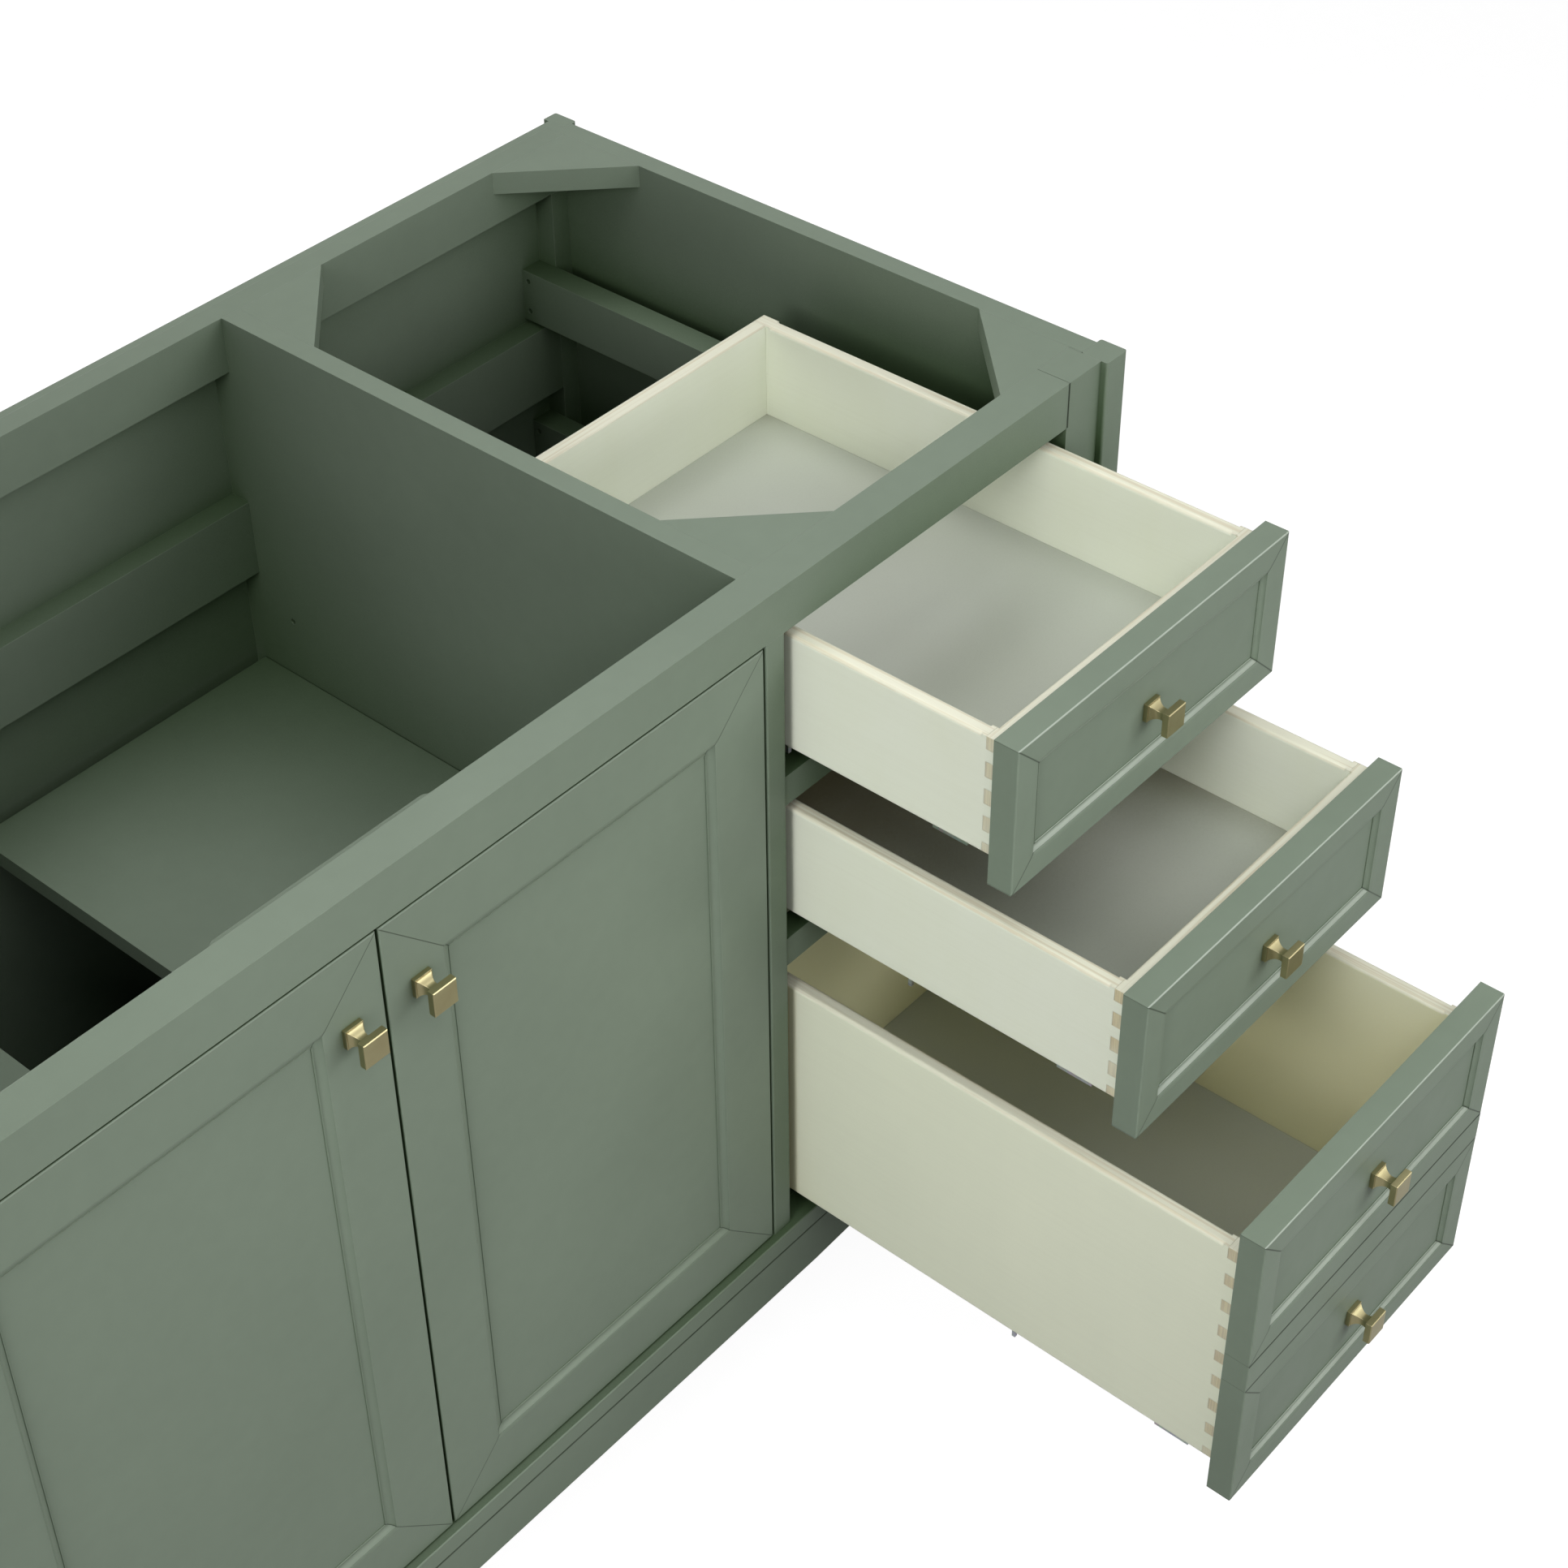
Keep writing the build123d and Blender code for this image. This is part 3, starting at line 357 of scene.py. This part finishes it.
def green_paint(name, edge_radius, reach, seams=None, seam_depth=1.0, glint=0.0):
    """Satin sage paint: mottled and sprayed, paler on worn edges that also carry a painted highlight, with
    painted shade in hollows and gaps, dark in joints, and a painted highlight on the mouldings' slopes
    where asked.
    """
    made, tree, surface, place = material(name)
    normal = soft_normal(tree, edge_radius)
    cloud = spread(tree, noise(tree, place, scale=5.0, detail=4.0), PAINT_MOTTLE)
    speck = spread(tree, noise(tree, place, scale=70.0, detail=3.0), PAINT_SPECK)
    own = spread(tree, add(tree, "ShaderNodeObjectInfo").outputs["Random"], PAINT_SPECK, FULL)
    level = calc(tree, "MULTIPLY", calc(tree, "MULTIPLY", cloud, speck), own)
    # Painted shade: the paint darkens where nearby surfaces close in, in hollows and narrow gaps.
    base = mix(tree, shade_openness(tree, reach, PAINT_SHADE_OPEN), PAINT_SHADE, PAINT)
    colour = mix(tree, 1.0, base, grey(tree, level), "MULTIPLY")
    # Paler arrises: partly worn paint, partly a painted highlight along the edges.
    patchy = spread(tree, noise(tree, place, scale=45.0, detail=5.0), (0.45, 0.9), (0.4, 0.62))
    rubbed_and_highlight = calc(tree, "MULTIPLY", edge_mask(tree, normal), patchy)
    colour = mix(tree, calc(tree, "MULTIPLY", rubbed_and_highlight, 0.75), colour, PAINT_WORN_AND_HIGHLIGHT)
    # Painted highlight: the mouldings' slopes that face up and forward turn paler.
    if glint:
        colour = mix(tree, calc(tree, "MULTIPLY", highlight_slope_mask(tree), glint), colour, PAINT_GLINT)
    relief = bump(tree, noise(tree, place, scale=14.0), 0.12, 0.0015, normal)
    if seams:
        seam = seams(tree, place)
        colour = mix(tree, calc(tree, "MULTIPLY", seam, seam_depth), colour, PAINT_SEAM)
        relief = bump(tree, seam, 0.5, 0.0002, relief, inward=True)
    rough = spread(tree, noise(tree, place, scale=18.0, detail=4.0), PAINT_ROUGH)
    rough = calc(tree, "SUBTRACT", rough, calc(tree, "MULTIPLY", rubbed_and_highlight, 0.08))
    peel = bump(tree, noise(tree, place, scale=900.0), 0.10, 0.0001, relief)
    set_surface(tree, surface, colour, rough, peel)
    surface.inputs["Specular IOR Level"].default_value = PAINT_GLOSS
    return made


def frame_paint(node):
    """Paint for a mitred frame, whose joints show: fine on a door, clearer on a drawer's front."""
    low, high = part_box(node)
    door = node.startswith("door")
    tall = node.startswith("drawer_3")
    outlines = [(low, high)]
    cuts = ()
    if tall:
        part = (high.z - low.z - STRIP_H) / 2
        cuts = (low.z + part, high.z - part)
        lower = (low, Vector((high.x, high.y, cuts[0])))
        upper = (Vector((low.x, low.y, cuts[1])), high)
        outlines = [lower, upper]
    width = SEAM_W if door else FRONT_SEAM_W
    depth = TALL_SEAM_DEPTH if tall else SEAM_DEPTH
    glint = DOOR_GLINT if door else FRONT_GLINT
    return green_paint("green_paint_" + node, FRAME_EDGE, CREVICE_SHADE_REACH,
                       lambda tree, place: frame_seams(tree, place, outlines, cuts, width), depth, glint)


def rail_joint_paint():
    """Paint for the front top rail and the outer stiles, whose joints show as dark upright lines."""
    low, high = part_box("top_rail_front")
    return green_paint("green_paint_rail_joints", CARCASS_EDGE, HOLLOW_SHADE_REACH,
                       lambda tree, place: rail_seams(tree, place, high.x, low.z))


def base_joint_paint():
    """Paint for the base rail and the apron, whose joint shows as a dark level line."""
    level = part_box("apron")[1].z
    return green_paint("green_paint_base_joint", CARCASS_EDGE, HOLLOW_SHADE_REACH,
                       lambda tree, place: base_seam(tree, place, level))


def grain_scale(along, lengthwise, crosswise):
    """A scale that draws a noise out along one level axis."""
    if along == "x":
        return (lengthwise, crosswise, crosswise)
    return (crosswise, lengthwise, crosswise)


def end_grain(tree, place):
    """The tan, layered end grain of the joints' pins, with rests of wash."""
    layers = noise(tree, stretched(tree, place, (60.0, 1100.0, 25.0)), 1.0, detail=3.0)
    tan = mix(tree, spread(tree, layers, (0.0, 0.8), (0.42, 0.58)), BOX_TAN, BOX_TAN_LINE)
    bare = noise(tree, place, scale=22.0, detail=1.0)
    return mix(tree, spread(tree, bare, (0.0, 0.45)), tan, BOX_WASH)


def box_wood(name, along, pale, shade_tone=None):
    """Whitewashed timber: bare cream top edges with long streaks, tan end grain on the joints' pins, and a
    warm painted shade in the hollows when a shade tone is given.
    """
    made, tree, surface, place = material(name)
    length = grain_scale(along, 5.0, 450.0)
    fray = grain_scale(along, 70.0, 500.0)
    grain = noise(tree, stretched(tree, place, length), 1.0, detail=4.0, rough=0.6)
    cloud = noise(tree, stretched(tree, place, (16.0, 16.0, 9.0)), 1.0, detail=5.0)
    wash = mix(tree, spread(tree, cloud, (0.0, 0.5)), pale, BOX_CLOUD)
    wash = mix(tree, spread(tree, grain, (0.0, 0.08), (0.45, 0.75)), wash, BOX_GRAIN)
    # Painted shade: a warm, darker tone where the box's walls close in.
    if shade_tone:
        wash = mix(tree, shade_openness(tree, BOX_SHADE_REACH, BOX_SHADE_OPEN, BOX_SAMPLES), shade_tone, wash)
    normal = soft_normal(tree, BOX_ARRIS)
    turned = add(tree, "ShaderNodeSeparateXYZ", Vector=normal)
    ragged = noise(tree, stretched(tree, place, fray), 1.0, detail=3.0, rough=0.6)
    height = calc(tree, "ADD", turned.outputs["Z"], spread(tree, ragged, (-0.12, 0.12)))
    upward = spread(tree, height, FULL, (0.30, 0.38))
    border = calc(tree, "MULTIPLY", upward, calc(tree, "SUBTRACT", 1.0, upward))
    streak = noise(tree, stretched(tree, place, length), 1.0)
    cream = mix(tree, spread(tree, streak, (0.0, 0.6), (0.50, 0.62)), BOX_EDGE, BOX_STREAK)
    colour = mix(tree, upward, wash, cream)
    frayed = calc(tree, "MULTIPLY", border, spread(tree, ragged, (0.0, 1.6), (0.5, 0.6)))
    colour = mix(tree, frayed, colour, BOX_STREAK)
    if along == "x":
        sideways = calc(tree, "GREATER_THAN", calc(tree, "ABSOLUTE", facing(tree)["X"]), 0.8)
        colour = mix(tree, sideways, colour, end_grain(tree, place))
    colour = mix(tree, calc(tree, "MULTIPLY", edge_mask(tree, normal), 0.35), colour, BOX_EDGE)
    relief = bump(tree, grain, 0.12, 0.0002, normal)
    set_surface(tree, surface, colour, spread(tree, cloud, BOX_ROUGH), relief)
    return made


def floor_board():
    """Smooth laminated board with a soft sheen and fine specks, with painted shade under the drawer above.
    """
    made, tree, surface, place = material("floor_board")
    speck = noise(tree, place, scale=700.0)
    cloud = noise(tree, place, scale=6.0)
    colour = mix(tree, spread(tree, cloud, (0.0, 0.5), NOISE_WIDE), BOARD, BOARD_CLOUD)
    colour = mix(tree, spread(tree, speck, (0.0, 0.12), (0.5, 0.7)), colour, BOARD_SPECK)
    # Painted shade: the board darkens and warms where the drawer above closes in.
    colour = mix(tree, shade_openness(tree, HOLLOW_SHADE_REACH, BOARD_SHADE_OPEN, BOARD_SAMPLES), BOARD_SHADE, colour)
    rough = spread(tree, cloud, BOARD_ROUGH, NOISE_WIDE)
    set_surface(tree, surface, colour, rough, bump(tree, speck, 0.08, 0.0001))
    return made


def zinc_steel():
    """Bright zinc on sheet steel with a faint spangle and rolling marks."""
    made, tree, surface, place = material("zinc_steel")
    spangle = add(tree, "ShaderNodeTexVoronoi", Vector=place, Scale=260.0)
    rolled = noise(tree, stretched(tree, place, (900.0, 20.0, 900.0)), 1.0, detail=3.0)
    colour = mix(tree, spread(tree, rolled, FULL), ZINC, ZINC_ROLLED)
    colour = mix(tree, 0.12, colour, spangle.outputs["Color"])
    rough = spread(tree, rolled, ZINC_ROUGH)
    set_surface(tree, surface, colour, rough, soft_normal(tree, ZINC_EDGE), metallic=1.0)
    return made


def satin_brass():
    """Brushed brass: fine upright strokes, paler rubbed arrises."""
    made, tree, surface, place = material("satin_brass")
    stroke = noise(tree, stretched(tree, place, (2600.0, 2600.0, 90.0)), 1.0, detail=3.0)
    cloud = noise(tree, place, scale=60.0)
    colour = mix(tree, spread(tree, cloud, (0.0, 0.6)), BRASS, BRASS_CLOUD)
    normal = soft_normal(tree, BRASS_EDGE)
    colour = mix(tree, calc(tree, "MULTIPLY", edge_mask(tree, normal), 0.5), colour, BRASS_WORN)
    relief = bump(tree, stroke, 0.05, 0.00005, normal)
    set_surface(tree, surface, colour, spread(tree, stroke, BRASS_ROUGH), relief, metallic=1.0)
    return made


def studio_floor():
    """Pale floor that reads white to the camera, keeps a soft shadow and shines dimly in gloss."""
    made, tree, surface, place = material("studio_floor")
    tree.nodes.remove(surface)
    dust = spread(tree, noise(tree, place, scale=40.0, detail=3.0), FLOOR_DUST)
    plain = add(tree, "ShaderNodeBsdfDiffuse", Color=grey(tree, dust))
    ray = tree.nodes.new("ShaderNodeLightPath").outputs
    seen = calc(tree, "MAXIMUM", ray["Is Camera Ray"], ray["Is Transmission Ray"])
    level = calc(tree, "ADD", calc(tree, "MULTIPLY", seen, FLOOR_GLOW),
                 calc(tree, "MULTIPLY", ray["Is Glossy Ray"], FLOOR_SHEEN))
    glow = add(tree, "ShaderNodeEmission", Strength=level)
    both = tree.nodes.new("ShaderNodeAddShader")
    tree.links.new(plain.outputs[0], both.inputs[0])
    tree.links.new(glow.outputs[0], both.inputs[1])
    tree.links.new(both.outputs[0], tree.nodes["Material Output"].inputs["Surface"])
    return made


def finish_name(node, carcass):
    """Which finish a CAD node takes."""
    if node.endswith("knob"):
        return "brass"
    if node.endswith("_frame"):
        return "frame"
    if node in ("top_rail_front", "stile_left", "stile_right"):
        return "rail_joints"
    if node in ("base_rail", "apron"):
        return "base_joint"
    if "slides" in node or node.endswith("hinge_cups"):
        return "steel"
    if node in ("runner_channels", "shelf_pins", "hinge_plates"):
        return "steel"
    if node.startswith("drawer_") and node.endswith("_floor"):
        return "board"
    if node.startswith("drawer_") and node.endswith(("_sides", "_ends")):
        box = "low_" if node.startswith("drawer_3") else "box_"
        return box + node.split("_")[-1]
    return "carcass" if node in carcass else "green"


def dress_nodes():
    """Give every CAD node its material, and add the small fastenings."""
    finishes = {
        "green": green_paint("green_paint", CARCASS_EDGE, CREVICE_SHADE_REACH),
        "carcass": green_paint("green_paint_carcass", CARCASS_EDGE, HOLLOW_SHADE_REACH),
        "rail_joints": rail_joint_paint(),
        "base_joint": base_joint_paint(),
        "box_sides": box_wood("box_wood_sides", "y", BOX_WASH),
        "box_ends": box_wood("box_wood_ends", "x", BOX_WASH),
        "low_sides": box_wood("box_wood_low_sides", "y", LOW_BOX_WASH, LOW_BOX_SHADE),
        "low_ends": box_wood("box_wood_low_ends", "x", LOW_BOX_WASH, LOW_BOX_SHADE),
        "board": floor_board(),
        "steel": zinc_steel(),
        "brass": satin_brass(),
    }
    carcass = frame["record"]["behaviour"]["bodies"]["carcass"]
    for node, piece in frame["nodes"].items():
        finish = finish_name(node, carcass)
        dress = frame_paint(node) if finish == "frame" else finishes[finish]
        for part in piece.material_slots:
            part.material = dress
    hinge_screws(finishes["steel"])
    knob_screws(finishes["steel"])
    back_nails(finishes["steel"])
    corner_fillers(finishes["carcass"])


# ---- Small pieces ----

def placed_mesh(name, surface, body, finish):
    """A new piece from a bmesh: its material and the body it rides on."""
    shape = bpy.data.meshes.new(name)
    surface.to_mesh(shape)
    surface.free()
    piece = bpy.data.objects.new(name, shape)
    bpy.context.scene.collection.objects.link(piece)
    piece.data.materials.append(finish)
    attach(piece, body)


def head_rows(surface, place, turn, size, count, recess):
    """The points of a domed head, a square grid pressed into a disc."""
    radius, height = size
    steps = [2.0 * i / (count - 1) - 1.0 for i in range(count)]
    rows = []
    for u in steps:
        row = []
        for v in steps:
            x = u * math.sqrt(1.0 - v * v / 2.0)
            y = v * math.sqrt(1.0 - u * u / 2.0)
            dome = math.sqrt(max(0.0, 1.0 - x * x - y * y))
            lift = height * (HEAD_RIM + (1.0 - HEAD_RIM) * dome)
            if min(abs(u), abs(v)) < CROSS_HALF and max(abs(u), abs(v)) < CROSS_REACH:
                lift -= height * recess
            spot = Vector((x * radius, y * radius, lift))
            row.append(surface.verts.new(place + turn @ spot))
        rows.append(row)
    return rows


def add_head(surface, place, axis, size, count, recess):
    """A closed domed head, with or without a cross recess, standing on a point and facing along an axis."""
    turn = Vector((0.0, 0.0, 1.0)).rotation_difference(Vector(axis)).to_matrix()
    rows = head_rows(surface, place, turn, size, count, recess)
    for i in range(count - 1):
        for j in range(count - 1):
            surface.faces.new((rows[i][j], rows[i + 1][j], rows[i + 1][j + 1], rows[i][j + 1]))
    rim = [row[0] for row in rows] + rows[-1][1:]
    rim += [row[-1] for row in reversed(rows[:-1])] + list(reversed(rows[0][1:-1]))
    down = turn @ Vector((0.0, 0.0, -size[1] * HEAD_RIM))
    foot = [surface.verts.new(vert.co + down) for vert in rim]
    for k, vert in enumerate(rim):
        after = (k + 1) % len(rim)
        surface.faces.new((vert, foot[k], foot[after], rim[after]))
    surface.faces.new(foot)


def head_set(name, places, axis, size, body, finish, count=SCREW_GRID, recess=CROSS_DEPTH):
    """Heads of screws or nails at several places, as one piece."""
    surface = bmesh.new()
    for place in places:
        add_head(surface, place, axis, size, count, recess)
    bmesh.ops.recalc_face_normals(surface, faces=surface.faces)
    placed_mesh(name, surface, body, finish)


def paired_spots(x, y, levels, apart):
    """A spot below and a spot above each level."""
    return [Vector((x, y, level + side * apart)) for level in levels for side in (-1, 1)]


def hinge_screws(steel):
    """Two screws through each hinge cup's flange and two through each hinge plate."""
    for door, inward in (("door_left", 1.0), ("door_right", -1.0)):
        low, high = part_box(door + "_hinge_cups")
        x = (low.x + CUP_CENTRE) if inward > 0 else (high.x - CUP_CENTRE)
        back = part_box(door + "_frame")[1].y + FLANGE_T
        levels = (low.z + CUP_FLANGE_HALF, high.z - CUP_FLANGE_HALF)
        spots = paired_spots(x, back, levels, CUP_SCREW_AT)
        head_set(door + "_cup_screws", spots, (0, 1, 0), CUP_SCREW, door, steel)
    low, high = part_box("hinge_plates")
    levels = (low.z + PLATE_HALF, high.z - PLATE_HALF)
    for side, x, outward in (("left", low.x + PLATE_T, 1.0), ("right", high.x - PLATE_T, -1.0)):
        spots = paired_spots(x, low.y + PLATE_SCREW_BACK, levels, PLATE_SCREW_AT)
        head_set("hinge_plate_screws_" + side, spots, (outward, 0, 0), PLATE_SCREW, "carcass", steel)


def knob_screws(steel):
    """The machine screws behind the knobs, on the doors' inner faces and inside the drawer boxes."""
    for door in ("door_left", "door_right"):
        low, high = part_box(door + "_knob")
        middle = (low + high) / 2
        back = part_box(door + "_frame")[1].y
        spots = [Vector((middle.x, back, middle.z))]
        head_set(door + "_knob_screw", spots, (0, 1, 0), KNOB_SCREW, door, steel)
    for drawer in ("drawer_1", "drawer_2", "drawer_3"):
        low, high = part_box(drawer + "_knob")
        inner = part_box(drawer + "_ends")[0].y + BOARD_T
        middle = (low + high) / 2
        half = (high.x - low.x) / 2
        levels = (low.z + half, high.z - half) if drawer == "drawer_3" else (middle.z,)
        spots = [Vector((middle.x, inner, level)) for level in levels]
        head_set(drawer + "_knob_screws", spots, (0, 1, 0), KNOB_SCREW, drawer, steel)


def back_nails(steel):
    """Small nail heads round the edge of the back panel."""
    low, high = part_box("back_panel")
    spots = []
    for i in range(NAILS_ACROSS):
        x = low.x + NAIL_IN + (high.x - low.x - 2 * NAIL_IN) * i / (NAILS_ACROSS - 1)
        spots += [Vector((x, high.y, low.z + NAIL_IN)), Vector((x, high.y, high.z - NAIL_IN))]
    for i in range(1, NAILS_UP):
        z = low.z + NAIL_IN + (high.z - low.z - 2 * NAIL_IN) * i / NAILS_UP
        spots += [Vector((low.x + NAIL_IN, high.y, z)), Vector((high.x - NAIL_IN, high.y, z))]
    head_set("back_panel_nails", spots, (0, 1, 0), NAIL, "carcass", steel, NAIL_GRID, 0.0)


def corner_fillers(finish):
    """Filler strips with an eased top that close the joint between each outer stile and its side panel."""
    for name, side in (("left", -1.0), ("right", 1.0)):
        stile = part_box("stile_" + name)
        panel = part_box("side_panel_" + name)
        inner = stile[1].x if side > 0 else stile[0].x
        outer = panel[0].x if side > 0 else panel[1].x
        front = panel[0].y
        back = stile[1].y
        surface = bmesh.new()
        bmesh.ops.create_cube(surface, size=1.0)
        size = Vector((abs(outer - inner), back - front, panel[1].z - stile[0].z))
        middle = Vector(((inner + outer) / 2, (front + back) / 2, (panel[1].z + stile[0].z) / 2))
        bmesh.ops.scale(surface, vec=size, verts=surface.verts)
        bmesh.ops.translate(surface, vec=middle, verts=surface.verts)
        top = [edge for edge in surface.edges if min(vert.co.z for vert in edge.verts) > middle.z]
        bmesh.ops.bevel(surface, geom=top, offset=FILLER_EASE, segments=FILLER_CUTS, affect="EDGES")
        placed_mesh("corner_filler_" + name, surface, "carcass", finish)


# ---- Studio ----

def make_stage():
    """The floor."""
    shape = bpy.data.meshes.new("studio_floor")
    surface = bmesh.new()
    bmesh.ops.create_grid(surface, x_segments=FLOOR_CELLS, y_segments=FLOOR_CELLS, size=FLOOR_HALF)
    surface.to_mesh(shape)
    surface.free()
    ground = bpy.data.objects.new("studio_floor", shape)
    bpy.context.scene.collection.objects.link(ground)
    ground.data.materials.append(studio_floor())


def area_light(name, place, target, size, beam, power):
    """A soft square lamp aimed at a point, its beam as wide as an angle in degrees."""
    lamp = bpy.data.lights.new(name, "AREA")
    lamp.shape = "SQUARE"
    lamp.size = size
    lamp.spread = math.radians(beam)
    lamp.energy = power
    holder = bpy.data.objects.new(name, lamp)
    bpy.context.scene.collection.objects.link(holder)
    holder.location = place
    aim = Vector(target) - Vector(place)
    holder.rotation_euler = aim.to_track_quat("-Z", "Y").to_euler()


def make_light():
    """Soft studio light from broad lamps all round and overhead, and a white background."""
    world = bpy.data.worlds.new("studio")
    bpy.context.scene.world = world
    world.use_nodes = True
    tree = world.node_tree
    tree.nodes.clear()
    ray = tree.nodes.new("ShaderNodeLightPath").outputs
    seen = calc(tree, "MAXIMUM", ray["Is Camera Ray"], ray["Is Glossy Ray"])
    seen = calc(tree, "MAXIMUM", seen, ray["Is Transmission Ray"])
    level = spread(tree, seen, (SKY_LEVEL, 1.0), FULL)
    sky = add(tree, "ShaderNodeBackground", Color=WHITE, Strength=level)
    output = tree.nodes.new("ShaderNodeOutputWorld")
    tree.links.new(sky.outputs[0], output.inputs["Surface"])
    for lamp in LAMPS:
        area_light(*lamp)


def make_camera():
    """The camera at the photograph's place."""
    eye = bpy.data.cameras.new("camera")
    holder = bpy.data.objects.new("camera", eye)
    bpy.context.scene.collection.objects.link(holder)
    eye.lens = CAMERA_LENS
    eye.sensor_width = CAMERA_SENSOR
    eye.sensor_fit = "HORIZONTAL"
    eye.shift_x, eye.shift_y = CAMERA_SHIFT
    holder.location = CAMERA_PLACE
    holder.rotation_euler = [math.radians(angle) for angle in CAMERA_TURN]
    bpy.context.scene.camera = holder


bpy.context.scene.view_settings.view_transform = "Standard"
make_camera()
make_light()
make_stage()
dress_nodes()
